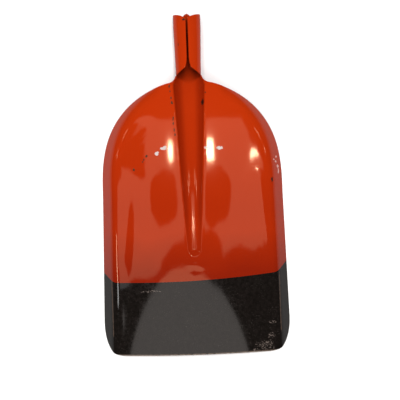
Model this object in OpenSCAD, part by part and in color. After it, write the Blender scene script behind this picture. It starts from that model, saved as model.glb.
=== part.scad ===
// Scoop shovel head, pressed and rolled from one sheet of steel.
//
// It lies face down on the free edges of its side walls, as it would on a bench.
// +Y runs from the mouth edge to the open end of the socket, +X runs across the blade and
// +Z points away from the bench, out of the back of the blade. The origin is on the bench,
// under the middle of the head. All lengths are in millimetres and all angles in degrees.
//
// The head is one pressing, so its nodes are the zones of that pressing. They share one grid
// over the sheet and meet face to face.

/* [Sheet] */
// Thickness of the steel sheet
sheet_t = 1.8; // [1.2:0.1:2.5]

/* [Blade] */
// Width across the side walls at the mouth
mouth_w = 274; // [255:1:290]
// How much narrower the blade is where its shoulders begin
side_taper = 5; // [0:0.5:15]
// Length from the mouth edge to where the shoulders begin
side_len = 231; // [210:1:250]
// Length of the shoulders, from the straight sides towards the throat
shoulder_len = 162; // [150:1:175]
// Height of the back of the blade above the bench, on the middle line at the mouth
mouth_h = 36; // [32:1:42]
// The same height where the blade meets the socket
throat_h = 40; // [38:1:44]
// How far the blade curves down from its middle line to its creases
crown = 9; // [4:0.5:12]
// Radius of the two corners at the mouth, measured on the flat sheet before it is pressed
corner_r = 45; // [25:1:50]
// How far the mouth edge bows forward in the middle
mouth_bow = 2; // [0:0.5:4]

/* [Side walls] */
// Width of a side wall, seen from above
wall_w = 16.5; // [13:0.5:18]
// Radius of the crease between the blade and a side wall
crease_r = 12; // [6:0.5:13]
// The same radius where the wall dies out, at the end of the shoulder
shoulder_r = 22; // [8:1:26]

/* [Frog] */
// Half width of the channel where it starts to close into the socket
frog_half_w = 25; // [23:0.5:26]
// Depth of the channel there
frog_depth = 20; // [18:0.5:22]
// Radius of the fold along each side of the channel
fold_r = 3.5; // [2:0.5:5]
// Half width of the channel near its nose
nose_half_w = 10; // [8:0.5:12]
// Depth of the channel near its nose
nose_depth = 2.5; // [1.5:0.1:4]
// Distance from the mouth edge to the nose of the channel
nose_s = 140; // [130:1:150]

/* [Socket] */
// Inner radius of the socket at the throat
throat_r = 16.1; // [15:0.1:17]
// Inner radius of the socket where the handle enters it
handle_r = 18; // [17:0.1:19]
// Length from the throat to the point of the socket's end
socket_len = 95; // [85:1:105]
// Length of the parallel stretch at the open end, where the handle is tight
land_len = 26; // [20:1:30]
// How far the socket droops below the line of the blade
droop = 4; // [2:0.5:6]
// Gap between the two rolled lips
slit_w = 2.6; // [1:0.2:4]

/* [Finish] */
// Length that is dipped in black lacquer, measured up the middle line
dip_len = 107; // [90:1:120]
// How far the dip line climbs for each millimetre that the sheet drops
dip_lean = 0.5; // [0:0.05:0.6]

/* [Hidden] */

ENAMEL = "#C8400F";
LACQUER = "#2A2422";

throat_s = side_len + shoulder_len + 7;      // where the sheet stops folding out and closes
blade_half = mouth_w / 2 - side_taper;       // half width where the shoulders begin
across_power = 1.9;                          // with both powers at 2,
along_power = 2.8;                           // the shoulders would be parts of an ellipse
total_len = throat_s + socket_len * cos(droop) - handle_r * sin(droop);
mouth_y = -total_len / 2;
rim_z = sheet_t / 2;                         // height of the back at the free edge of a wall

neck_len = 13;                               // length over which the fold beside the channel dies out
frog_s = throat_s - neck_len;                // where the channel starts to close
cone_len = socket_len - land_len;            // length of the tapered stretch of the socket
socket_taper = (handle_r - throat_r) / cone_len;
axis_z = throat_h - fold_r;                  // height of the socket's axis, extended to frog_s
nose_len = 12;                               // length of the rounded nose
flat_half_w = 2;                             // half width of the middle strip past the nose
last_fold = 0.3;                             // radius of the fold at the throat, where it has died out
dip_fade = 60;                               // length over which rows turn into the dip line

// Columns of the grid, counted from the middle line to the free edge.
FLOOR = 5;                                   // last column of the channel's floor
CREST = FLOOR + 3;                           // crest of the fold beside the channel
BEND = CREST + 5;                            // where the crease begins
WALL = BEND + 4;                             // where the flat of the side wall begins
EDGE = WALL + 4;                             // free edge

// Rows on the straight sides, each at its own distance from the mouth edge.
TIP_ROWS = 7;
NOSE_ROWS = 5;
row_s = concat(
    [for (k = [0:TIP_ROWS]) dip_len * pow(k / TIP_ROWS, 1.4)],
    [for (k = [1:3]) lerp(dip_len, nose_s, k / 3)],
    [for (k = [1:NOSE_ROWS]) nose_s + (nose_len + 4) * pow(k / NOSE_ROWS, 2)],
    [for (k = [1:6]) lerp(nose_s + nose_len + 4, side_len, k / 6)]
);
SIDE = len(row_s) - 1;                       // last row on the straight sides
SHOULDER = SIDE + 14;                        // last row on the shoulders
THROAT = SHOULDER + 5;                       // row at the throat

function lerp(a, b, t) = a + (b - a) * t;
function clamp(t) = max(0, min(1, t));
function ease(t) = let (c = clamp(t)) c * c * (3 - 2 * c);
function unit(v) = v / norm(v);

// --- Outline of the blade, seen from above: [x, s], s being the distance from the mouth edge ---

function side_x(s) = mouth_w / 2 - side_taper * s / side_len;

// Each shoulder is a quarter of a superellipse, fuller at the side than at the socket.
function shoulder(angle) = [
    blade_half * pow(cos(angle), 2 / across_power),
    side_len + shoulder_len * pow(sin(angle), 2 / along_power)
];
function shoulder_inward(p) = -unit([
    across_power / blade_half * pow(p[0] / blade_half, across_power - 1),
    along_power / shoulder_len * pow(max(0, p[1] - side_len) / shoulder_len, along_power - 1)
]);

// A hollow arc leads from the end of each shoulder into the side of the socket.
neck_x = throat_r + sheet_t;
shoulder_end = 76.5;                         // angle where that arc takes over
arc_from = shoulder(shoulder_end);
arc_normal = -shoulder_inward(arc_from);
arc_r = (arc_from[0] - neck_x - 0.7) / (1 - arc_normal[0]);
arc_centre = arc_from + arc_r * arc_normal;
arc_start = atan2(-arc_normal[1], -arc_normal[0]);
arc_turn = -180 - arc_start;
function neck(t) = arc_centre + arc_r * [cos(arc_start + t * arc_turn), sin(arc_start + t * arc_turn)];

function row_part(i) = (i - SIDE) / (SHOULDER - SIDE);
function outline(i) =
    i <= SIDE ? [side_x(row_s[i]), row_s[i]]
    : i <= SHOULDER ? shoulder(shoulder_end * row_part(i))
    : neck(0.86 * (i - SHOULDER) / (THROAT - SHOULDER));
function inward(i) =
    i <= SIDE ? [-1, 0]
    : i <= SHOULDER ? shoulder_inward(outline(i))
    : unit(outline(i) - arc_centre);

// --- Side wall: its width dies out along the shoulder, and its slope with it ---

function band(i) =
    i <= SIDE ? wall_w
    : i >= SHOULDER ? 0
    : wall_w * (1 - pow(row_part(i), 2.2));

// Slope of a wall at distance s: as steep as it takes for its free edge to reach the bench.
function wall_angle(s) = atan((pan_z(side_x(s), s) - rim_z) / wall_w);
function slope(i) = wall_angle(min(side_len, outline(i)[1])) * clamp(band(i) / 5);
function bend_r(i) = lerp(crease_r, shoulder_r, clamp(row_part(i)));

// How far the sheet has dropped at distance q inside the free edge of a wall of width b,
// whose crease has radius r.
function drop(angle, b, q, r = crease_r) =
    let (run = r * tan(angle / 2))
    q >= b + run ? 0
    : q >= b - run * cos(angle) ? r - sqrt(pow(r, 2) - pow(b + run - q, 2))
    : (b - q) * tan(angle);

// --- Channel: [half width, depth] at distance s from the mouth edge ---

function frog_size(s) =
    let (t = clamp((s - nose_s - nose_len) / (frog_s - nose_s - nose_len)))
    let (nose = clamp((nose_s + nose_len - s) / nose_len))
    s <= nose_s ? [flat_half_w, 0.01]
    : s < nose_s + nose_len ? [
        max(flat_half_w, nose_half_w * sqrt(1 - nose * nose)),
        max(0.01, nose_depth * ease(1 - nose))
    ]
    : s < frog_s ? [
        lerp(nose_half_w, frog_half_w, pow(t, 0.85)),
        lerp(nose_depth, frog_depth, t)
    ]
    : let (end = throat_r + last_fold)
        [lerp(frog_half_w, end, neck_part(s)), lerp(frog_depth, end, neck_part(s))];

// Above frog_s the channel closes to the half round of the socket, and its fold dies out.
function neck_part(s) = (s - frog_s) / neck_len;
function neck_fold(s) = lerp(fold_r, last_fold, clamp(neck_part(s)));
function socket_z(s) = axis_z - (s - frog_s) * tan(droop);

// --- Height of the back of the blade ---

function pan_z(x, s) =
    lerp(mouth_h, throat_h, s / frog_s) - crown * pow(x / (mouth_w / 2 - wall_w), 2);
function crest_z(s) =
    s < frog_s ? pan_z(frog_size(s)[0], s)
    : lerp(pan_z(frog_half_w, frog_s), socket_z(throat_s) + last_fold, neck_part(s));

// Distance up the middle of the head at which a row crosses the channel.
function row_centre(i) =
    i <= SIDE ? row_s[i]
    : i <= SHOULDER ? (outline(i) + 12 * (1 - 0.8 * row_part(i)) * inward(i))[1]
    : lerp(row_centre(SHOULDER), throat_s, (i - SHOULDER) / (THROAT - SHOULDER));

// --- The grid: a point on the back of the sheet, at row i and column j ---

// The mouth edge is rounded at its corners, on the flat sheet, and bows forward in the middle.
mouth_stretch = 1 / cos(wall_angle(0));
function along_sheet(q) = q < wall_w ? q * mouth_stretch : q + wall_w * (mouth_stretch - 1);
function corner_lift(x, edge_x) =
    let (d = max(0, corner_r - along_sheet(edge_x - x)))
    corner_r - sqrt(pow(corner_r, 2) - pow(d, 2)) + mouth_bow * pow(x / side_x(0), 2);
function tent(s, top) = s < top ? s / top : clamp(1 - (s - top) / dip_fade);

// On the straight sides the rows move along, to follow the mouth edge and the dip line.
function on_side(i, p, shift) =
    let (s = row_s[i], edge = side_x(s))
    let (low = pan_z(p[0], 0) - drop(wall_angle(s), wall_w, edge - p[0]))
    let (y = p[1] + clamp(1 - s / dip_fade) * corner_lift(p[0], edge)
             + tent(s, dip_len) * dip_lean * (mouth_h - low))
    let (x = p[0] * side_x(y) / edge)
    [x, y, pan_z(x, y) - drop(wall_angle(y), wall_w, side_x(y) - x) + shift];

function back(i, j) =
    let (s = row_centre(i), size = frog_size(s), g = size[0], d = size[1])
    let (a = 2 * atan(d / g), rf = s < frog_s ? min(fold_r, 0.6 * g) : neck_fold(s))
    let (r = g / sin(a) - rf, crest = crest_z(s), shift = crest - pan_z(g, s))
    let (o = outline(i), n = inward(i), b = band(i), angle = slope(i), run = bend_r(i) * tan(angle / 2))
    let (reach = min(b + run + 3, 0.7 * norm(o - [g, s])))
    let (q_wall = max(b - run * cos(angle), 0.25 * reach))
    let (q = j <= WALL ? lerp(reach, q_wall, (j - BEND) / (WALL - BEND))
                       : q_wall * pow((EDGE - j) / (EDGE - WALL), 2))
    let (p = j <= BEND ? lerp([g, s], o + reach * n, (j - CREST) / (BEND - CREST)) : o + q * n)
    j <= FLOOR ? let (u = a * j / FLOOR)
        [r * sin(u), s, crest - d + r * (1 - cos(u))]
    : j <= CREST ? let (u = a * (CREST - j) / (CREST - FLOOR))
        [g - rf * sin(u), s, crest - rf * (1 - cos(u))]
    : i <= SIDE ? on_side(i, p, shift)
    : [p[0], p[1], pan_z(p[0], p[1]) - (j <= BEND ? 0 : drop(angle, b, q, bend_r(i))) + shift];

// Both halves, in the head's own frame.
function across(i, j) =
    let (p = back(i, abs(j)))
    [j < 0 ? -p[0] : p[0], p[1] + mouth_y, p[2]];

GRID = [for (i = [0:THROAT]) [for (j = [-EDGE:EDGE]) across(i, j)]];
function at(i, j) = GRID[max(0, min(THROAT, i))][max(-EDGE, min(EDGE, j)) + EDGE];

// The face of the sheet lies one thickness inside the back, along the normal. At the rounded
// corners of the mouth the rows run into the edge, so the walls there use the normal further up.
function normal(i, j) =
    let (k = abs(j) >= BEND ? max(i, TIP_ROWS) : i)
    unit(cross(at(k, j + 1) - at(k, j - 1), at(k + 1, j) - at(k - 1, j)));
function face(i, j) =
    let (n = normal(i, j))
    at(i, j) - sheet_t * (i == THROAT ? unit([n[0], 0, n[2]]) : n);

// A closed solid of the sheet over rows i0 to i1 and columns j0 to j1.
module sheet(i0, i1, j0, j1) {
    rows = i1 - i0;
    cols = j1 - j0;
    n = (rows + 1) * (cols + 1);
    function id(r, c) = r * (cols + 1) + c;
    points = concat(
        [for (i = [i0:i1]) for (j = [j0:j1]) at(i, j)],
        [for (i = [i0:i1]) for (j = [j0:j1]) face(i, j)]
    );
    function strip(a, b) = [[a, b, b + n], [a, b + n, a + n]];
    faces = concat(
        [for (r = [0:rows - 1]) for (c = [0:cols - 1])
            for (f = [[id(r, c), id(r + 1, c), id(r + 1, c + 1)],
                      [id(r, c), id(r + 1, c + 1), id(r, c + 1)]]) f],
        [for (r = [0:rows - 1]) for (c = [0:cols - 1])
            for (f = [[id(r, c), id(r + 1, c + 1), id(r + 1, c)],
                      [id(r, c), id(r, c + 1), id(r + 1, c + 1)]]) [for (k = f) k + n]],
        [for (c = [0:cols - 1]) for (f = strip(id(0, c), id(0, c + 1))) f],
        [for (c = [0:cols - 1]) for (f = strip(id(rows, c + 1), id(rows, c))) f],
        [for (r = [0:rows - 1]) for (f = strip(id(r + 1, 0), id(r, 0))) f],
        [for (r = [0:rows - 1]) for (f = strip(id(r, cols), id(r + 1, cols))) f]
    );
    polyhedron(points = points, faces = faces);
}

// --- Zones of the pressing ---

module black_mouth() {
    color(LACQUER) sheet(0, TIP_ROWS, -EDGE, EDGE);
}

// A pan runs from the crest of the fold beside the channel to the crease.
module left_pan() {
    color(ENAMEL) sheet(TIP_ROWS, THROAT, -BEND, -CREST);
}
module right_pan() {
    color(ENAMEL) sheet(TIP_ROWS, THROAT, CREST, BEND);
}

module left_wall() {
    color(ENAMEL) sheet(TIP_ROWS, THROAT, -EDGE, -BEND);
}
module right_wall() {
    color(ENAMEL) sheet(TIP_ROWS, THROAT, BEND, EDGE);
}

// The channel, and the narrow strip that joins its nose to the dipped mouth.
module frog() {
    color(ENAMEL) sheet(TIP_ROWS, THROAT, -CREST, CREST);
}

// --- Socket ---

throat_y = mouth_y + throat_s;
tube_start = -12;                            // the cone begins below the throat and is cut there
tube_end = socket_len + 6;                   // the tube is rolled long and its end is cut to shape
arch_len = 9;                                // how far the arch reaches up between the lips
lip_x = 3.6;                                 // where the arch meets the slit
reach = 2 * handle_r;                        // larger than the tube, for the cutting shapes

// Wall of the tube along its own axis, before the slit and the end cuts.
module tube() {
    r0 = throat_r + socket_taper * tube_start;
    rotate_extrude($fn = 96)
        polygon([
            [r0, tube_start], [r0 + sheet_t, tube_start],
            [handle_r + sheet_t, cone_len], [handle_r + sheet_t, tube_end],
            [handle_r, tube_end], [handle_r, cone_len]
        ]);
}

// The end of the rolled sheet: a point on the far side, and clipped corners beside the slit.
module far_end() {
    polygon([
        [-reach, 0], [reach, 0], [reach, socket_len - 8], [8, socket_len - 6.5],
        [2.5, socket_len - 0.8], [0, socket_len], [-2.5, socket_len - 0.8],
        [-8, socket_len - 6.5], [-reach, socket_len - 8]
    ]);
}
module near_end() {
    polygon([
        [-reach, 0], [reach, 0], [reach, socket_len - 8], [7, socket_len - 12.5],
        [slit_w / 2, socket_len - 17], [-slit_w / 2, socket_len - 18],
        [-7, socket_len - 12.5], [-reach, socket_len - 8]
    ]);
}
// The slit between the lips, which opens into the arch at the throat.
module slit() {
    polygon([
        [-slit_w / 2, socket_len], [slit_w / 2, socket_len], [slit_w / 2, arch_len + 15],
        [2.1, arch_len + 6], [lip_x, arch_len], [neck_x + 0.6, -1], [neck_x + 0.6, -reach],
        [-neck_x - 0.6, -reach], [-neck_x - 0.6, -1], [-lip_x, arch_len],
        [-2.1, arch_len + 6], [-slit_w / 2, arch_len + 15]
    ]);
}

module socket() {
    color(ENAMEL)
    translate([0, throat_y, socket_z(throat_s)])
    difference() {
        rotate([-90 - droop, 0, 0]) tube();
        translate([-reach, -2 * reach, -reach]) cube([2 * reach, 2 * reach, 2 * reach]);
        rotate([-droop, 0, 0]) {
            linear_extrude(reach) slit();
            linear_extrude(reach) difference() { band_over(); near_end(); }
            translate([0, 0, -reach]) linear_extrude(reach) difference() { band_over(); far_end(); }
        }
    }
}
// Everything past the end cuts.
module band_over() {
    translate([-reach, socket_len / 2]) square([2 * reach, socket_len]);
}

black_mouth();
left_pan();
right_pan();
left_wall();
right_wall();
frog();
socket();
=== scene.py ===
import math

import bpy
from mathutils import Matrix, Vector


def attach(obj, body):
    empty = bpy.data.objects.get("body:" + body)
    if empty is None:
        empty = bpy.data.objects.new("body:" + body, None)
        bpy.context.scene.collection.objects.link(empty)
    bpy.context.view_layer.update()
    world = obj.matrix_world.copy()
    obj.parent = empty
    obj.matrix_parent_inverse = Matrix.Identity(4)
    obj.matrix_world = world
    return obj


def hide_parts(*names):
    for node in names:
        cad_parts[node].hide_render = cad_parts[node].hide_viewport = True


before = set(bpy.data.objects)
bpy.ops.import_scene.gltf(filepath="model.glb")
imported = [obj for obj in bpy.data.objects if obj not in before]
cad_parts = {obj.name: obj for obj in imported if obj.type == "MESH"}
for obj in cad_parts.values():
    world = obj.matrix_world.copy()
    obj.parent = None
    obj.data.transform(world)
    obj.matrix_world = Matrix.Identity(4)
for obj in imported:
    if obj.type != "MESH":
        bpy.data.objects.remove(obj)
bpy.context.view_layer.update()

# A scoop shovel head, pressed and rolled from one sheet of steel, sprayed in orange enamel and
# dipped at its mouth in black lacquer. It lies face down on the free edges of its side walls.
# Sizes below are millimetres along the head (from the mouth edge), across it and up from the
# bench. to_metres() places them in the frame, where +Y runs from the mouth to the socket.

MM = 0.001


# ---------------------------------------------------------------- sizes of the pressing

SHEET = 1.8                 # thickness of the steel
MOUTH_HALF = 137.0          # half width at the mouth
SIDE_TAPER = 5.0            # how much each side has come in where the shoulders begin
SIDE_LEN = 231.0
SHOULDER_LEN = 162.0
ACROSS_POWER = 1.9          # with both powers at 2,
ALONG_POWER = 2.8           # the shoulders would be parts of an ellipse
SHOULDER_HALF = MOUTH_HALF - SIDE_TAPER
MOUTH_HEIGHT = 36.0
THROAT_HEIGHT = 40.0
CROWN = 9.0
CORNER_R = 45.0
MOUTH_BOW = 2.0
MOUTH_FOLLOW = 60.0         # rows of the mesh this near to the mouth follow the curve of its edge

WALL_W = 16.5
CREASE_R = 12.0
SHOULDER_R = 22.0           # radius of the crease where the wall dies out
RIM_HEIGHT = SHEET / 2      # height of the back at the free edge of a wall, which is on the bench
WALL_FADE = 2.2             # the power by which a wall narrows along the shoulder, slowly at first
WALL_FLATTENS = 5.0         # a wall narrower than this is less steep
BROKEN_EDGE = 0.35          # bevel along the cut edges of the sheet

FROG_HALF = 25.0
FROG_DEPTH = 20.0
FOLD_R = 3.5                # radius of the fold along each side of the channel
NOSE_HALF = 10.0
NOSE_DEPTH = 2.5
NOSE_AT = 140.0
NOSE_LEN = 12.0
FLAT_HALF = 2.0             # half width of the middle strip past the nose
LAST_FOLD = 0.3             # radius of the fold at the throat, where it has died out

THROAT_R = 16.1
HANDLE_R = 18.0
SOCKET_LEN = 95.0
LAND_LEN = 26.0
DROOP = math.radians(4)
SLIT_HALF = 1.3
ARCH_LEN = 9.0              # how far the arch reaches up between the lips
LIP_HALF = 3.6              # half gap where the arch meets the slit
LIP_CLOSING = 16.0          # how far past the arch the lips come together
POINT_HALF = 8.0            # half width of the point on the far side of the end
CLIP_HALF = 7.0             # how far from the slit its corners are clipped
END_AT_SIDES = 8.0          # how far short of its full length the rolled sheet ends, at its sides,
END_AT_POINT = 6.5          # beside the point on its far side,
END_AT_LIPS = 12.5          # and at the lips, whose corners are clipped
LEFT_CLIP = 5.5
RIGHT_CLIP = 3.5

DIP_LEN = 107.0             # black lacquer, measured up the middle line
DIP_LEAN = 0.5              # how far the dip line climbs for each millimetre that the sheet drops
DIP_SKEW = math.tan(math.radians(1.9))  # the head was dipped slightly askew

THROAT_AT = SIDE_LEN + SHOULDER_LEN + 7
NECK_LEN = 13.0
FROG_AT = THROAT_AT - NECK_LEN  # above this, the fold beside the channel dies out
CONE_LEN = SOCKET_LEN - LAND_LEN
SOCKET_TAPER = (HANDLE_R - THROAT_R) / CONE_LEN
AXIS_HEIGHT = THROAT_HEIGHT - FOLD_R
NOSE_END = NOSE_AT + NOSE_LEN
HEAD_LEN = THROAT_AT + SOCKET_LEN * math.cos(DROOP) - HANDLE_R * math.sin(DROOP)
MOUTH_Y = -HEAD_LEN / 2


def lerp(a, b, t):
    return a + (b - a) * t


def clamp(t):
    return max(0.0, min(1.0, t))


def ease(t):
    t = clamp(t)
    return t * t * (3 - 2 * t)


def to_metres(across, along, up):
    return Vector((across * MM, (along + MOUTH_Y) * MM, up * MM))


def frame_y(along):
    """The same place along the head as a Y in the frame, in metres."""
    return (along + MOUTH_Y) * MM


# ---------------------------------------------------------------- the back of the blade


def pan_height(across, along):
    rise = lerp(MOUTH_HEIGHT, THROAT_HEIGHT, along / FROG_AT)
    return rise - CROWN * (across / (MOUTH_HALF - WALL_W)) ** 2


# ---------------------------------------------------------------- outline of the blade


def side_half(along):
    return MOUTH_HALF - SIDE_TAPER * along / SIDE_LEN


def wall_angle(along):
    """Slope of a side wall, as steep as it takes for its free edge to reach the bench."""
    return math.atan((pan_height(side_half(along), along) - RIM_HEIGHT) / WALL_W)


def drop(angle, band, inside, radius=CREASE_R):
    """How far the sheet has dropped at that distance inside the free edge of a wall."""
    run = radius * math.tan(angle / 2)
    if inside >= band + run:
        return 0.0
    if inside >= band - run * math.cos(angle):
        return radius - math.sqrt(radius ** 2 - (band + run - inside) ** 2)
    return (band - inside) * math.tan(angle)


def shoulder(angle):
    """A point on the shoulder, a quarter of a superellipse, and the direction into the blade."""
    across = SHOULDER_HALF * math.cos(angle) ** (2 / ACROSS_POWER)
    past = SHOULDER_LEN * math.sin(angle) ** (2 / ALONG_POWER)
    slope = Vector((
        ACROSS_POWER / SHOULDER_HALF * (across / SHOULDER_HALF) ** (ACROSS_POWER - 1),
        ALONG_POWER / SHOULDER_LEN * (past / SHOULDER_LEN) ** (ALONG_POWER - 1),
    ))
    return Vector((across, SIDE_LEN + past)), -slope.normalized()


# A hollow arc leads from the end of each shoulder into the side of the socket.
SHOULDER_END = math.radians(76.5)
NECK_HALF = THROAT_R + SHEET
NECK_CLEAR = 0.7            # how far outside the socket the arc ends
ARC_FROM, ARC_INWARD = shoulder(SHOULDER_END)
ARC_R = (ARC_FROM.x - NECK_HALF - NECK_CLEAR) / (1 + ARC_INWARD.x)
ARC_CENTRE = ARC_FROM - ARC_R * ARC_INWARD
ARC_START = math.atan2(ARC_INWARD.y, ARC_INWARD.x)
ARC_TURN = -math.pi - ARC_START


def neck(t):
    angle = ARC_START + t * ARC_TURN
    spoke = Vector((math.cos(angle), math.sin(angle)))
    return ARC_CENTRE + ARC_R * spoke, spoke


# ---------------------------------------------------------------- rows across the head

TIP_ROWS = 40               # up to the dip line, closer together towards the mouth
GAP_ROWS = 12               # from there to the nose of the channel
NOSE_ROWS = 12
NOSE_ROWS_LEN = NOSE_LEN + 4
SIDE_ROWS = 36
SHOULDER_ROWS = 60
NECK_ROWS = 14
FIRST_REACH = 12.0          # how far inside a shoulder's edge its row crosses the head, where it begins
LAST_REACH = 2.4            # and where it ends
NECK_SHARE = 0.86           # the part of the hollow arc that lies below the throat


def side_stations():
    tip = [DIP_LEN * (k / TIP_ROWS) ** 1.15 for k in range(TIP_ROWS + 1)]
    gap = [lerp(DIP_LEN, NOSE_AT, k / GAP_ROWS) for k in range(1, GAP_ROWS + 1)]
    nose = [NOSE_AT + NOSE_ROWS_LEN * (k / NOSE_ROWS) ** 1.6 for k in range(1, NOSE_ROWS + 1)]
    side = [lerp(NOSE_AT + NOSE_ROWS_LEN, SIDE_LEN, k / SIDE_ROWS) for k in range(1, SIDE_ROWS + 1)]
    return tip + gap + nose + side


class Row:
    """One line across the head: its outline point, the way in from it, and where it crosses. It is
    given by its distance along the side, or its share of the shoulder, or its share of the neck."""

    def __init__(self, along=None, shoulder_part=0.0, neck_part=None):
        self.along = along
        self.part = shoulder_part
        if along is not None:
            self.edge = Vector((side_half(along), along))
            self.inward = Vector((-1, 0))
            self.centre = along
        elif neck_part is None:
            self.edge, self.inward = shoulder(SHOULDER_END * shoulder_part)
            reach = lerp(FIRST_REACH, LAST_REACH, shoulder_part)
            self.centre = (self.edge + reach * self.inward).y
        else:
            self.edge, self.inward = neck(NECK_SHARE * neck_part)
            end, inward = shoulder(SHOULDER_END)
            self.centre = lerp((end + LAST_REACH * inward).y, THROAT_AT, neck_part)
        self.band = WALL_W * (1 - self.part ** WALL_FADE)
        self.angle = wall_angle(min(SIDE_LEN, self.edge.y)) * clamp(self.band / WALL_FLATTENS)
        self.radius = lerp(CREASE_R, SHOULDER_R, self.part)
        self.run = self.radius * math.tan(self.angle / 2)


ROWS = (
    [Row(along=s) for s in side_stations()]
    + [Row(shoulder_part=k / SHOULDER_ROWS) for k in range(1, SHOULDER_ROWS + 1)]
    + [Row(shoulder_part=1.0, neck_part=k / NECK_ROWS) for k in range(1, NECK_ROWS + 1)]
)

# Columns from the middle line to the free edge: over the channel's floor, its fold, the pan, the
# crease and the wall.
FLOOR = 12
CREST = FLOOR + 8
BEND = CREST + 26
WALL = BEND + 8
EDGE = WALL + 7


# ---------------------------------------------------------------- heights


def closing(along):
    """0 where the channel starts to close above FROG_AT, and 1 at the throat."""
    return (along - FROG_AT) / NECK_LEN


def socket_height(along):
    return AXIS_HEIGHT - (along - FROG_AT) * math.tan(DROOP)


def neck_fold(along):
    return lerp(FOLD_R, LAST_FOLD, clamp(closing(along)))


def frog_size(along):
    """Half width and depth of the channel."""
    if along <= NOSE_AT:
        return FLAT_HALF, 0.01
    if along < NOSE_END:
        left = clamp((NOSE_END - along) / NOSE_LEN)
        half = max(FLAT_HALF, NOSE_HALF * math.sqrt(1 - left * left))
        return half, max(0.01, NOSE_DEPTH * ease(1 - left))
    if along < FROG_AT:
        t = (along - NOSE_END) / (FROG_AT - NOSE_END)
        return lerp(NOSE_HALF, FROG_HALF, t ** 0.85), lerp(NOSE_DEPTH, FROG_DEPTH, t)
    end = THROAT_R + LAST_FOLD
    return lerp(FROG_HALF, end, closing(along)), lerp(FROG_DEPTH, end, closing(along))


def crest_height(along):
    if along < FROG_AT:
        return pan_height(frog_size(along)[0], along)
    throat = socket_height(THROAT_AT) + LAST_FOLD
    return lerp(pan_height(FROG_HALF, FROG_AT), throat, closing(along))


# ---------------------------------------------------------------- points on the back


MOUTH_STRETCH = 1 / math.cos(wall_angle(0))


def along_sheet(inside):
    """Distance from the free edge measured on the flat sheet, before it is pressed."""
    return inside * MOUTH_STRETCH if inside < WALL_W else inside + WALL_W * (MOUTH_STRETCH - 1)


def corner_lift(across, edge):
    """The mouth edge is rounded at its corners and bows forward in the middle."""
    past = max(0.0, CORNER_R - along_sheet(edge - across))
    lift = CORNER_R - math.sqrt(CORNER_R ** 2 - past ** 2)
    return lift + MOUTH_BOW * (across / MOUTH_HALF) ** 2


def on_side(row, point, shift):
    """On the straight sides, the rows near the mouth follow its edge."""
    across, along = point
    along += clamp(1 - row.along / MOUTH_FOLLOW) * corner_lift(across, row.edge.x)
    across *= side_half(along) / row.edge.x
    fall = drop(wall_angle(along), WALL_W, side_half(along) - across)
    return across, along, pan_height(across, along) - fall + shift


# Soft bends left by the press and by use, each a long low ridge: (across, along) of its two ends,
# half width and height, in mm. A dent has a negative height.
BENDS = (
    ((98, 300), (112, 232), 6, 0.15),
    ((96, 258), (110, 118), 6, 0.5),
    ((-108, 128), (-112, 30), 7, 0.55),
    ((-92, 235), (-104, 110), 9, -0.5),
    ((-112, 250), (-113, 160), 8, 0.3),
    ((-6, 130), (9, 126), 4, 0.2),
    ((-3, 121), (4, 121), 3, -0.15),
    ((-30, 60), (30, 60), 45, 0.4),
    ((-62, 330), (-96, 292), 10, -0.45),
    ((-62, 268), (-62, 214), 16, 0.3),
    ((62, 268), (62, 214), 16, 0.3),
)
END_SHARE = 0.35            # height of a bend at its ends, as a share of its height in the middle
STILL_FROM_MOUTH = 25.0     # the bends grow to their height over this distance from the mouth edge,
STILL_BY_CHANNEL = 12.0     # over this distance from the channel,
STILL_COLUMNS = 10          # over this many columns from the free edge
STILL_ROWS = 20             # and over this many rows from the throat


def bend_height(across, along):
    """How far the sheet stands out of its smooth shape."""
    place = Vector((across, along))
    height = 0.0
    for first, last, half, peak in BENDS:
        run = Vector(last) - Vector(first)
        t = clamp((place - Vector(first)).dot(run) / run.length_squared)
        away = (place - Vector(first) - t * run).length / half
        height += peak * math.exp(-away * away) * lerp(END_SHARE, 1.0, math.sin(math.pi * t))
    return height * ease(along / STILL_FROM_MOUTH)


NARROW_FOLD = 0.6           # a narrow channel's fold is no wider than this share of its half width
PAST_CREASE = 3.0           # the crease's columns start this far inside it,
MOST_REACH = 0.7            # but within this share of the way from the edge to the channel
LEAST_FLAT = 0.25           # and the wall takes up at least this share of that reach


def sheet_point(row, column):
    """A point on the back of the sheet, on the right half."""
    s = row.centre
    half, depth = frog_size(s)
    turn = 2 * math.atan(depth / half)
    fold = min(FOLD_R, NARROW_FOLD * half) if s < FROG_AT else neck_fold(s)
    floor_r = half / math.sin(turn) - fold
    crest = crest_height(s)
    if column <= FLOOR:
        u = turn * column / FLOOR
        return floor_r * math.sin(u), s, crest - depth + floor_r * (1 - math.cos(u))
    if column <= CREST:
        u = turn * (CREST - column) / (CREST - FLOOR)
        return half - fold * math.sin(u), s, crest - fold * (1 - math.cos(u))
    start = Vector((half, s))
    reach = min(row.band + row.run + PAST_CREASE, MOST_REACH * (row.edge - start).length)
    flat = max(row.band - row.run * math.cos(row.angle), LEAST_FLAT * reach)
    if column <= BEND:
        inside = reach
        point = start.lerp(row.edge + reach * row.inward, (column - CREST) / (BEND - CREST))
    else:
        bend_part = (column - BEND) / (WALL - BEND)
        wall_part = (EDGE - column) / (EDGE - WALL)
        inside = lerp(reach, flat, bend_part) if column <= WALL else flat * wall_part ** 1.5
        point = row.edge + inside * row.inward
    shift = crest - pan_height(half, s)
    if row.along is not None:
        return on_side(row, point, shift)
    fall = 0.0 if column <= BEND else drop(row.angle, row.band, inside, row.radius)
    return point.x, point.y, pan_height(point.x, point.y) - fall + shift


# ---------------------------------------------------------------- modelling helpers


def deselect():
    if bpy.context.object and bpy.context.object.mode != "OBJECT":
        bpy.ops.object.mode_set(mode="OBJECT")
    bpy.ops.object.select_all(action="DESELECT")


def take(obj):
    deselect()
    obj.select_set(True)
    bpy.context.view_layer.objects.active = obj


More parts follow.
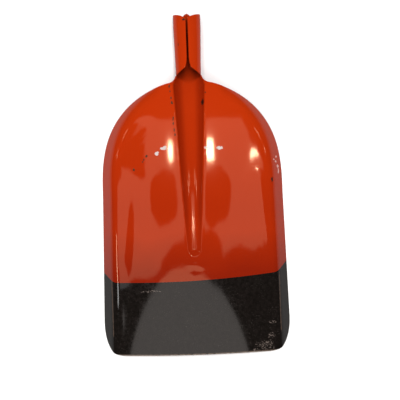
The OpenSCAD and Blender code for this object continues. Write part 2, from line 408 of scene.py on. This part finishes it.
def flat_grid(name, columns, rows):
    """A flat grid of square faces, one unit across, ready to be shaped."""
    deselect()
    bpy.ops.mesh.primitive_grid_add(x_subdivisions=columns, y_subdivisions=rows, size=1)
    grid = bpy.context.object
    grid.name = name
    grid.data.name = name
    return grid


def shape_grid(grid, columns, rows, place):
    for vertex in grid.data.vertices:
        c = round((vertex.co.x + 0.5) * columns)
        r = round((vertex.co.y + 0.5) * rows)
        vertex.co = to_metres(*place(r, c))


def in_edit_mode(obj, *steps):
    take(obj)
    bpy.ops.object.mode_set(mode="EDIT")
    bpy.ops.mesh.select_all(action="SELECT")
    for step in steps:
        step()
    bpy.ops.object.mode_set(mode="OBJECT")


def apply_modifier(obj, kind, **settings):
    take(obj)
    modifier = obj.modifiers.new(kind, kind)
    for name, value in settings.items():
        setattr(modifier, name, value)
    bpy.ops.object.modifier_apply(modifier=modifier.name)


# ---------------------------------------------------------------- the pressing


def press_blade():
    grid = flat_grid("blade_blank", 2 * EDGE, len(ROWS) - 1)

    def place(r, c):
        column = abs(c - EDGE)
        x, s, z = sheet_point(ROWS[r], column)
        x = -x if c < EDGE else x
        loose = clamp((EDGE - column) / STILL_COLUMNS) * clamp((len(ROWS) - 1 - r) / STILL_ROWS)
        if s > NOSE_AT - NOSE_LEN / 2:
            loose *= ease((abs(x) - frog_size(s)[0]) / STILL_BY_CHANNEL)
        return x, s, z + bend_height(x, s) * loose

    shape_grid(grid, 2 * EDGE, len(ROWS) - 1, place)
    return grid


LIP = 11                    # columns of each lip, past the socket's widest point
TUBE = FLOOR + LIP
TUBE_ROWS = 44
TUBE_START = socket_height(THROAT_AT)


def slit_half(t):
    """Half the gap between the lips, at distance t up the socket."""
    near = clamp(1 - (t - ARCH_LEN) / LIP_CLOSING)
    return SLIT_HALF + (LIP_HALF - SLIT_HALF) * near ** 2.2


def tube_r(t):
    return min(HANDLE_R, THROAT_R + SOCKET_TAPER * t)


def tube_end(across, far):
    """Where the rolled sheet ends: a point on the far side, and clipped corners by the slit."""
    x = abs(across)
    at_sides = SOCKET_LEN - END_AT_SIDES
    if far:
        if x > POINT_HALF:
            past_point = (x - POINT_HALF) / (HANDLE_R - POINT_HALF)
            return lerp(SOCKET_LEN - END_AT_POINT, at_sides, clamp(past_point))
        return SOCKET_LEN - END_AT_POINT * ease(x / (POINT_HALF + 1))
    if x > CLIP_HALF:
        past_clip = (x - CLIP_HALF) / (HANDLE_R - CLIP_HALF)
        return lerp(SOCKET_LEN - END_AT_LIPS, at_sides, clamp(past_clip))
    clip = LEFT_CLIP if across < 0 else RIGHT_CLIP
    return SOCKET_LEN - END_AT_LIPS - clip * (1 - x / CLIP_HALF)


def tube_point(t, angle):
    """On the inside of the socket, at distance t up its axis, turned by angle from the bottom."""
    r = tube_r(t)
    up = -r * math.cos(angle)
    along = THROAT_AT + t * math.cos(DROOP) + up * math.sin(DROOP)
    return r * math.sin(angle), along, TUBE_START - t * math.sin(DROOP) + up * math.cos(DROOP)


def socket_point(r, c):
    side = -1 if c < TUBE else 1
    column = abs(c - TUBE)
    share = r / TUBE_ROWS
    if column <= FLOOR:
        angle = 0.5 * math.pi * column / FLOOR
        if r == 0:
            x, s, z = sheet_point(ROWS[-1], column)
            return side * x, s, z
        end = tube_end(side * HANDLE_R * math.sin(angle), far=True)
        x, s, z = tube_point(end * share, angle)
        return side * x, s, z
    # The slit's width depends on how far up the socket the point is, so the two are found in turns.
    lip_share = (column - FLOOR) / LIP
    t = 0.0
    for _ in range(6):
        lip_angle = math.pi - math.asin(slit_half(t) / tube_r(t))
        angle = lerp(0.5 * math.pi, lip_angle, lip_share)
        across = tube_r(t) * math.sin(angle)
        start = ARCH_LEN * clamp((tube_r(0) - across) / (tube_r(0) - LIP_HALF))
        end = tube_end(side * across, far=False)
        t = lerp(start, end, share)
    x, s, z = tube_point(t, angle)
    return side * x, s, z


def roll_socket():
    grid = flat_grid("socket_blank", 2 * TUBE, TUBE_ROWS)
    shape_grid(grid, 2 * TUBE, TUBE_ROWS, socket_point)
    return grid


def pressed_sheet():
    """The whole sheet, with its thickness, facing outwards."""
    blade = press_blade()
    socket = roll_socket()
    take(blade)
    socket.select_set(True)
    bpy.ops.object.join()
    in_edit_mode(
        blade,
        lambda: bpy.ops.mesh.remove_doubles(threshold=0.04 * MM),
        lambda: bpy.ops.mesh.normals_make_consistent(inside=False),
    )
    # A face on the open part of the pan has to look up.
    on_pan = min(blade.data.polygons, key=lambda f: (f.center - to_metres(60, 60, 34)).length)
    if on_pan.normal.z < 0:
        in_edit_mode(blade, bpy.ops.mesh.flip_normals)
    apply_modifier(blade, "SOLIDIFY", thickness=SHEET * MM, offset=-1)
    apply_modifier(blade, "BEVEL", width=BROKEN_EDGE * MM, segments=2, limit_method="ANGLE",
                   angle_limit=math.radians(50))
    return blade


def halve(obj, name, keep_mouth):
    """A copy of one side of the dip line, closed where it is cut."""
    deselect()
    piece = obj.copy()
    piece.data = obj.data.copy()
    bpy.context.collection.objects.link(piece)
    piece.name = name
    piece.data.name = name
    middle = to_metres(0, DIP_LEN, MOUTH_HEIGHT)
    up_the_head = Vector((-DIP_SKEW, 1, DIP_LEAN))

    def cut():
        bpy.ops.mesh.bisect(plane_co=middle, plane_no=up_the_head, use_fill=True,
                            clear_inner=not keep_mouth, clear_outer=keep_mouth)

    in_edit_mode(piece, cut)
    return piece


sheet_steel = pressed_sheet()
orange_head = halve(sheet_steel, "orange_head", keep_mouth=False)
black_mouth = halve(sheet_steel, "black_mouth_dip", keep_mouth=True)
bpy.data.objects.remove(sheet_steel)

for piece in (orange_head, black_mouth):
    take(piece)
    bpy.ops.object.shade_smooth_by_angle(angle=math.radians(40))


# ---------------------------------------------------------------- materials


def hex_colour(code):
    """An sRGB hex colour as linear red, green, blue and alpha."""
    parts = [int(code[k:k + 2], 16) / 255 for k in (0, 2, 4)]
    return [p / 12.92 if p <= 0.04045 else ((p + 0.055) / 1.055) ** 2.4 for p in parts] + [1.0]


def add_node(tree, kind, inputs=None, output=0, **settings):
    """Adds a node and returns one of its outputs. Each input is a value, or an output of another
    node that is linked to it."""
    node = tree.nodes.new(kind)
    for name, value in settings.items():
        setattr(node, name, value)
    for name, value in (inputs or {}).items():
        if isinstance(value, bpy.types.NodeSocket):
            tree.links.new(value, node.inputs[name])
        else:
            node.inputs[name].default_value = value
    return node.outputs[output]


MATHS = "ShaderNodeMath"
VECTOR = "ShaderNodeVectorMath"
RANGE = "ShaderNodeMapRange"    # clamped; it goes from 0 to 1 unless told otherwise
AXES = "ShaderNodeSeparateXYZ"
COVER = "ShaderNodeMix"
UNDER = 6                       # the mix node's numbers for its two colours
OVER = 7
COVERED = 2                     # and for the colour that it gives


def new_material(name):
    material = bpy.data.materials.new(name)
    material.use_nodes = True
    return material, material.node_tree.nodes["Principled BSDF"]


def grain(tree, place, size_mm, detail=2.0, stretch=(1, 1, 1)):
    """Noise from 0 to 1 with patches about size_mm across."""
    scaled = add_node(tree, VECTOR, {0: place, 1: stretch}, operation="MULTIPLY")
    inputs = {"Vector": scaled, "Scale": 1 / (size_mm * MM), "Detail": detail}
    return add_node(tree, "ShaderNodeTexNoise", inputs)


def seen_from_above(tree):
    """1 on the back of the sheet, where the knocks are, and 0 on its face."""
    normal = add_node(tree, "ShaderNodeTexCoord", output="Normal")
    height = add_node(tree, AXES, {0: normal}, output="Z")
    return add_node(tree, RANGE, {"Value": height, "From Min": 0.05, "From Max": 0.15})


def spots(tree, place, marks):
    """1 inside any of the marks, each (across, up the head, width, length) in mm of the frame."""
    ragged = grain(tree, place, 3.0, detail=3.0)
    edge = add_node(tree, RANGE, {"Value": ragged, "From Min": 0.3, "From Max": 0.7,
                                  "To Min": -0.4, "To Max": 0.4})
    total = 0.0
    for across, up, width, length in marks:
        middle = (across * MM, up * MM, 0)
        per_half = (2 / (width * MM), 2 / (length * MM), 0)
        moved = add_node(tree, VECTOR, {0: place, 1: middle}, operation="SUBTRACT")
        scaled = add_node(tree, VECTOR, {0: moved, 1: per_half}, operation="MULTIPLY")
        far = add_node(tree, VECTOR, {0: scaled}, output="Value", operation="LENGTH")
        near = add_node(tree, RANGE, {"Value": far, "From Min": 1.5, "From Max": 0.5})
        total = add_node(tree, MATHS, {0: total, 1: near}, operation="MAXIMUM")
    ragged_total = add_node(tree, MATHS, {0: total, 1: edge}, operation="ADD")
    inside = add_node(tree, RANGE, {"Value": ragged_total, "From Min": 0.45, "From Max": 0.6})
    return add_node(tree, MATHS, {0: inside, 1: seen_from_above(tree)}, operation="MULTIPLY")


# Marks on the back, each (across, up the head, width, length), in whole mm of the frame.
DARK_CHIPS = (
    (-28, 138, 2, 4), (-27, 131, 2, 3), (-26, 122, 2, 4), (-25, 115, 3, 4), (-24, 92, 2, 6),
    (-24, 85, 2, 5), (-23, 76, 2, 5), (-22, 69, 2, 4), (19, 115, 4, 8), (23, 128, 2, 2),
    (-64, 40, 3, 4), (-68, 35, 2, 3), (-70, 32, 2, 2), (-83, 21, 3, 4), (115, 1, 3, 8),
    (-4, 231, 3, 3), (-13, 196, 1, 3),
)
PALE_FLAKES = (
    (-40, 50, 10, 4), (-37, 52, 4, 3), (-49, 43, 6, 5), (41, 48, 8, 5), (22, 49, 7, 4), (27, 47, 3, 3),
)
SCUFFS = ((122, 27, 3, 3), (125, 20, 3, 5), (126, 13, 2, 8), (123, 34, 2, 3), (119, 30, 2, 2))


def channel_side_shade(tree, place):
    """1 on the steep sides of the channel, which are darkened as painted shade, and 0 along its floor."""
    across = add_node(tree, AXES, {0: place}, output="X")
    up = add_node(tree, AXES, {0: place}, output="Y")
    half = add_node(tree, RANGE, {"Value": up, "From Min": frame_y(NOSE_AT), "From Max": frame_y(FROG_AT),
                                  "To Min": NOSE_HALF * MM, "To Max": FROG_HALF * MM})
    away = add_node(tree, MATHS, {0: across}, operation="ABSOLUTE")
    share = add_node(tree, MATHS, {0: away, 1: half}, operation="DIVIDE")
    off_floor = add_node(tree, RANGE, {"Value": share, "From Min": 0.3, "From Max": 0.6})
    below_crest = add_node(tree, RANGE, {"Value": share, "From Min": 0.95, "From Max": 0.85})
    past_nose = add_node(tree, RANGE, {"Value": up, "From Min": frame_y(NOSE_AT),
                                       "From Max": frame_y(NOSE_AT + 60)})
    below_throat = add_node(tree, RANGE, {"Value": up, "From Min": frame_y(THROAT_AT + 4),
                                          "From Max": frame_y(THROAT_AT)})
    sides = off_floor
    for limit in (below_crest, past_nose, below_throat):
        sides = add_node(tree, MATHS, {0: sides, 1: limit}, operation="MULTIPLY")
    return sides


def painted_socket_shade(tree, place):
    """1 inside the socket and under the lips, which are darkened as painted shade, fading out in the
    channel.
    """
    across = add_node(tree, AXES, {0: place}, output="X")
    up = add_node(tree, AXES, {0: place}, output="Y")
    height = add_node(tree, AXES, {0: place}, output="Z")
    up_socket = add_node(tree, MATHS, {0: up, 1: frame_y(THROAT_AT)}, operation="SUBTRACT")
    axis = add_node(tree, MATHS, {0: up_socket, 1: -math.tan(DROOP), 2: socket_height(THROAT_AT) * MM},
                    operation="MULTIPLY_ADD")
    above_axis = add_node(tree, MATHS, {0: height, 1: axis}, operation="SUBTRACT")
    squared = add_node(tree, MATHS, {0: across, 1: across}, operation="MULTIPLY")
    squared = add_node(tree, MATHS, {0: above_axis, 1: above_axis, 2: squared}, operation="MULTIPLY_ADD")
    from_axis = add_node(tree, MATHS, {0: squared}, operation="SQRT")
    in_tube = add_node(tree, MATHS, {0: up_socket, 1: -SOCKET_TAPER, 2: from_axis},
                       operation="MULTIPLY_ADD")
    within = add_node(tree, RANGE, {"Value": in_tube, "From Min": (THROAT_R + 1.0) * MM,
                                    "From Max": (THROAT_R + 0.4) * MM})
    past_throat = add_node(tree, RANGE, {"Value": up_socket, "From Min": -16 * MM, "From Max": 8 * MM})
    before_end = add_node(tree, RANGE, {"Value": up_socket, "From Min": (SOCKET_LEN - 4) * MM,
                                        "From Max": (SOCKET_LEN - 26) * MM})
    away = add_node(tree, MATHS, {0: across}, operation="ABSOLUTE")
    beside_floor = add_node(tree, RANGE, {"Value": away, "From Min": 3 * MM, "From Max": 10 * MM,
                                          "To Min": 0.65, "To Max": 1.0})
    inside = within
    for limit in (past_throat, before_end, beside_floor):
        inside = add_node(tree, MATHS, {0: inside, 1: limit}, operation="MULTIPLY")
    return inside


def mouth_edge(tree, place, mottle):
    """1 in patches along the last millimetre or two of the mouth, where the lacquer has worn off."""
    across = add_node(tree, AXES, {0: place}, output="X")
    up = add_node(tree, AXES, {0: place}, output="Y")
    squared = add_node(tree, MATHS, {0: across, 1: across}, operation="MULTIPLY")
    bow = add_node(tree, MATHS, {0: squared, 1: MOUTH_BOW / (MOUTH_HALF ** 2 * MM)}, operation="MULTIPLY")
    straight = add_node(tree, MATHS, {0: up, 1: bow}, operation="SUBTRACT")
    past_edge = add_node(tree, MATHS, {0: straight, 1: frame_y(0)}, operation="SUBTRACT")
    at_edge = add_node(tree, RANGE, {"Value": past_edge, "From Min": 2.2 * MM, "From Max": 0.8 * MM})
    patchy = add_node(tree, RANGE, {"Value": mottle, "From Min": 0.3, "From Max": 0.5})
    return add_node(tree, MATHS, {0: at_edge, 1: patchy}, operation="MULTIPLY")


def enamel_orange():
    """Gloss enamel sprayed on pressed steel. Its coat is mirror smooth with a faint orange peel and chipped
    to the steel or the primer at the knocks. Its colour holds painted shade: darker towards the mouth, in
    the channel and in the socket."""
    material, shader = new_material("orange gloss enamel, sprayed")
    tree = material.node_tree
    place = add_node(tree, "ShaderNodeTexCoord", output="Object")
    up = add_node(tree, AXES, {0: place}, output="Y")
    # Painted light and shade along the head: the coat is darkest at the mouth and painted lighter in two
    # steps towards the socket.
    height_for_light = add_node(tree, MATHS, {0: grain(tree, place, 45.0), 1: 0.03, 2: up}, operation="MULTIPLY_ADD")
    painted_light_mid = add_node(tree, RANGE, {"Value": height_for_light, "From Min": -0.115, "From Max": -0.055})
    painted_light_top = add_node(tree, RANGE, {"Value": height_for_light, "From Min": -0.02, "From Max": 0.12})
    # Painted shade on the steep sides of the channel.
    run = add_node(tree, MATHS, {0: channel_side_shade(tree, place), 1: 0.55}, operation="MULTIPLY")
    # Painted shade inside the socket and under its lips.
    shaded = add_node(tree, MATHS, {0: painted_socket_shade(tree, place), 1: 0.92}, operation="MULTIPLY")
    scuffed = add_node(tree, MATHS, {0: spots(tree, place, SCUFFS), 1: 0.5}, operation="MULTIPLY")
    chips = spots(tree, place, DARK_CHIPS)
    flakes = spots(tree, place, PALE_FLAKES)

    coat = hex_colour("761806")
    # The first four layers are painted light and shade; the last three are wear.
    layers = ((painted_light_mid, "912205"), (painted_light_top, "A22A06"), (run, "7C1A04"), (shaded, "380A03"),
              (scuffed, "E3C6BE"), (chips, "1C1310"), (flakes, "B4ABAA"))
    for share, colour in layers:
        coat = add_node(tree, COVER, {0: share, UNDER: coat, OVER: hex_colour(colour)}, output=COVERED,
                        data_type="RGBA")
    tree.links.new(coat, shader.inputs["Base Color"])

    bare = add_node(tree, MATHS, {0: chips, 1: flakes}, operation="MAXIMUM")
    dull = add_node(tree, RANGE, {"Value": bare, "To Min": 0.04, "To Max": 0.5})
    tree.links.new(dull, shader.inputs["Roughness"])
    fine = grain(tree, place, 6.0, detail=1.0)      # real orange peel is about 2 mm, too fine to show
    peel = add_node(tree, "ShaderNodeBump", {"Strength": 0.25, "Distance": 0.02 * MM, "Height": fine})
    coated = add_node(tree, MATHS, {0: 1.0, 1: bare}, operation="SUBTRACT")
    chipped = add_node(tree, "ShaderNodeBump", {"Strength": 0.6, "Distance": 0.15 * MM, "Height": coated,
                                                "Normal": peel})
    tree.links.new(chipped, shader.inputs["Normal"])
    shader.inputs["IOR"].default_value = 1.5
    shader.inputs["Specular IOR Level"].default_value = 0.35
    shader.inputs["Specular Tint"].default_value = (1.0, 0.60, 0.36, 1.0)
    return material


# Scratched places on the lacquer, and faint wear along both creases.
SCRATCHED = (
    (97, -236, 26, 13), (107, -223, 12, 8), (109, -204, 11, 5), (84, -243, 12, 5), (-66, -154, 30, 3),
)
CREASE_AT = MOUTH_HALF - WALL_W + 0.5
WORN = tuple((side * CREASE_AT, -140 - 8 * k, 1.6, 13) for side in (-1, 1) for k in range(10))


def lacquer_black():
    """Thin black lacquer from dipping. It is glossy, a little brown, with fine scratches and dust."""
    material, shader = new_material("black lacquer, dipped")
    tree = material.node_tree
    place = add_node(tree, "ShaderNodeTexCoord", output="Object")
    mottle = grain(tree, place, 5.0, detail=6.0)
    thin = add_node(tree, RANGE, {"Value": mottle, "From Min": 0.35, "From Max": 0.65})
    specks = add_node(tree, RANGE, {"Value": grain(tree, place, 1.6, detail=0.0),
                                    "From Min": 0.70, "From Max": 0.76})
    patches = add_node(tree, RANGE, {"Value": grain(tree, place, 30.0), "From Min": 0.45, "From Max": 0.65,
                                     "To Min": 0.01, "To Max": 0.07})
    dust = add_node(tree, MATHS, {0: specks, 1: patches}, operation="MULTIPLY")
    lines = add_node(tree, RANGE, {"Value": grain(tree, place, 1.8, detail=5.0, stretch=(0.7, 1.3, 1)),
                                   "From Min": 0.52, "From Max": 0.60})
    lines = add_node(tree, MATHS, {0: spots(tree, place, SCRATCHED), 1: lines}, operation="MULTIPLY")
    scratches = add_node(tree, MATHS, {0: lines, 1: 0.4}, operation="MULTIPLY")
    worn = add_node(tree, MATHS, {0: spots(tree, place, WORN), 1: 0.3}, operation="MULTIPLY")
    bare = add_node(tree, MATHS, {0: mouth_edge(tree, place, mottle), 1: 0.7}, operation="MULTIPLY")

    coat = hex_colour("0E0B09")
    layers = ((thin, "15110F"), (dust, "8E857E"), (scratches, "8A7C74"), (worn, "6B5648"), (bare, "77675A"))
    for share, colour in layers:
        coat = add_node(tree, COVER, {0: share, UNDER: coat, OVER: hex_colour(colour)}, output=COVERED,
                        data_type="RGBA")
    tree.links.new(coat, shader.inputs["Base Color"])

    dull = add_node(tree, RANGE, {"Value": mottle, "From Min": 0.3, "From Max": 0.7,
                                  "To Min": 0.04, "To Max": 0.08})
    tree.links.new(dull, shader.inputs["Roughness"])
    fine = add_node(tree, "ShaderNodeBump", {"Strength": 0.08, "Distance": 0.02 * MM,
                                             "Height": grain(tree, place, 2.5, detail=4.0)})
    tree.links.new(fine, shader.inputs["Normal"])
    shader.inputs["IOR"].default_value = 1.5
    shader.inputs["Specular IOR Level"].default_value = 0.2
    return material


orange_head.data.materials.clear()
orange_head.data.materials.append(enamel_orange())
black_mouth.data.materials.clear()
black_mouth.data.materials.append(lacquer_black())

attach(orange_head, "root")
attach(black_mouth, "root")
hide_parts("left_pan", "right_pan", "left_wall", "right_wall", "frog", "socket")
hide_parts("black_mouth")


# ---------------------------------------------------------------- floor, light, camera

deselect()
bpy.ops.mesh.primitive_plane_add(size=6, location=(0, 0, 0))
floor = bpy.context.object
floor.name = "floor"
floor_paint, floor_shader = new_material("pale matt floor")
floor_tree = floor_paint.node_tree
mirrored = add_node(floor_tree, "ShaderNodeLightPath", output="Is Glossy Ray")
floor_colour = add_node(floor_tree, COVER, {0: mirrored, UNDER: hex_colour("F7F7F7"),
                                            OVER: hex_colour("9A9A9A")}, output=COVERED, data_type="RGBA")
floor_tree.links.new(floor_colour, floor_shader.inputs["Base Color"])
floor_shader.inputs["Roughness"].default_value = 0.8
floor.data.materials.append(floor_paint)

# The room gives an even fill, but a gloss surface mirrors a dark room and the lamps in it. Real rooms
# don't do both at once: the room and the floor above are darker to a mirrored ray than to the eye.
world = bpy.data.worlds.new("studio")
bpy.context.scene.world = world
world.use_nodes = True
room = world.node_tree.nodes["Background"]
room.inputs["Color"].default_value = hex_colour("FFFFFF")
mirrored = add_node(world.node_tree, "ShaderNodeLightPath", output="Is Glossy Ray")
level = add_node(world.node_tree, RANGE, {"Value": mirrored, "To Min": 0.66, "To Max": 0.04})
world.node_tree.links.new(level, room.inputs["Strength"])

PANEL_UP = 1.5              # metres from the blade up to the lamps


def lamp(name, centre, size, brightness, shape="RECTANGLE", colour="FFFFFF", turn=0):
    """A flat lamp that faces straight down; brightness is how bright it looks, 1 being white paper."""
    width, depth = size
    light = bpy.data.lights.new(name, "AREA")
    light.shape = shape
    light.size = width
    light.size_y = depth
    light.color = hex_colour(colour)[:3]
    area = width * depth * (math.pi / 4 if shape in ("DISK", "ELLIPSE") else 1)
    light.energy = brightness * math.pi * area
    holder = bpy.data.objects.new(name, light)
    holder.location = (centre[0], centre[1], PANEL_UP + MOUTH_HEIGHT * MM)
    holder.rotation_euler = (0, 0, math.radians(turn))
    bpy.context.collection.objects.link(holder)
    return light


# The soft box is dark where black flags would hang in front of it, which shapes what the enamel
# mirrors. Each is (across, up the head, width, length, squareness, turn in degrees), in metres.
FLAGS = (
    (-0.26, -0.05, 0.22, 0.17, 3, 0),
    (0.17, -0.05, 0.22, 0.18, 3, 0),
    (-0.54, 0.12, 0.27, 0.15, 3, -12),
    (0.02, -0.33, 0.56, 0.37, 2, 0),
    (-0.25, -0.33, 0.52, 0.20, 4, 27),
    (0.56, 0.17, 0.34, 0.14, 5, -42),
    (0.45, -0.33, 0.56, 0.26, 4, 0),
    (-0.56, 0.26, 0.30, 0.16, 4, 20),
)


def flagged(light):
    """Leaves the lamp dark at the flags, with soft and slightly wavy edges."""
    light.use_nodes = True
    tree = light.node_tree
    emission = tree.nodes["Emission"]
    place = add_node(tree, "ShaderNodeNewGeometry", output="Position")
    wave = add_node(tree, "ShaderNodeTexNoise", {"Vector": place, "Scale": 9.0, "Detail": 1.0})
    edge = add_node(tree, RANGE, {"Value": wave, "From Min": 0.3, "From Max": 0.7,
                                  "To Min": -0.14, "To Max": 0.14})
    lit = 1.0
    for across, up, width, length, squareness, turn in FLAGS:
        moved = add_node(tree, VECTOR, {0: place, 1: (across, up, 0)}, operation="SUBTRACT")
        turned = add_node(tree, "ShaderNodeVectorRotate", {"Vector": moved, "Angle": math.radians(-turn)},
                          rotation_type="Z_AXIS")
        total = 0.0
        for axis, size in (("X", width), ("Y", length)):
            part = add_node(tree, AXES, {0: turned}, output=axis)
            part = add_node(tree, MATHS, {0: part, 1: size / 2}, operation="DIVIDE")
            part = add_node(tree, MATHS, {0: part}, operation="ABSOLUTE")
            part = add_node(tree, MATHS, {0: part, 1: squareness}, operation="POWER")
            total = add_node(tree, MATHS, {0: total, 1: part}, operation="ADD")
        far = add_node(tree, MATHS, {0: total, 1: 1 / squareness}, operation="POWER")
        wavy = add_node(tree, MATHS, {0: far, 1: edge}, operation="ADD")
        clear = add_node(tree, RANGE, {"Value": wavy, "From Min": 0.94, "From Max": 1.06})
        lit = add_node(tree, MATHS, {0: lit, 1: clear}, operation="MINIMUM")
    tree.links.new(lit, emission.inputs["Strength"])


lamp("round_panel", (-0.09, -0.855), (1.2, 1.2), 3.2, shape="DISK", colour="FFF6F0")
flagged(lamp("soft_box", (-0.01, -0.05), (1.22, 0.49), 2.2))
lamp("key", (0.138, 0.098), (0.07, 0.055), 640)
lamp("left_key", (-0.185, 0.098), (0.03, 0.05), 800, turn=12)
lamp("spot", (0.51, 0.083), (0.018, 0.018), 800, shape="DISK")
# Strip lights off to the sides, which only the rounded channel, socket and creases can mirror.
lamp("low_strip", (-1.0, -0.29), (0.28, 0.22), 18)
for side in (-1, 1):
    lamp("side_strip", (side * 0.82, 0.262), (0.16, 0.05), 14)
    lamp("far_strip", (side * 1.35, 0.262), (0.22, 0.05), 16)

CAMERA_UP = 1.3             # metres above the back of the blade
CAMERA_TURN = math.radians(-2.0)
VIEW_WIDTH = 0.572          # metres across the whole view, on the blade
SENSOR_WIDTH = 36
camera_data = bpy.data.cameras.new("camera")
camera_data.sensor_width = SENSOR_WIDTH
camera_data.lens = SENSOR_WIDTH * CAMERA_UP / VIEW_WIDTH
camera = bpy.data.objects.new("camera", camera_data)
camera.location = (0.0103, -0.0253, CAMERA_UP + MOUTH_HEIGHT * MM)
camera.rotation_euler = (0, 0, CAMERA_TURN)
bpy.context.collection.objects.link(camera)
bpy.context.scene.camera = camera
bpy.context.scene.view_settings.view_transform = "Standard"
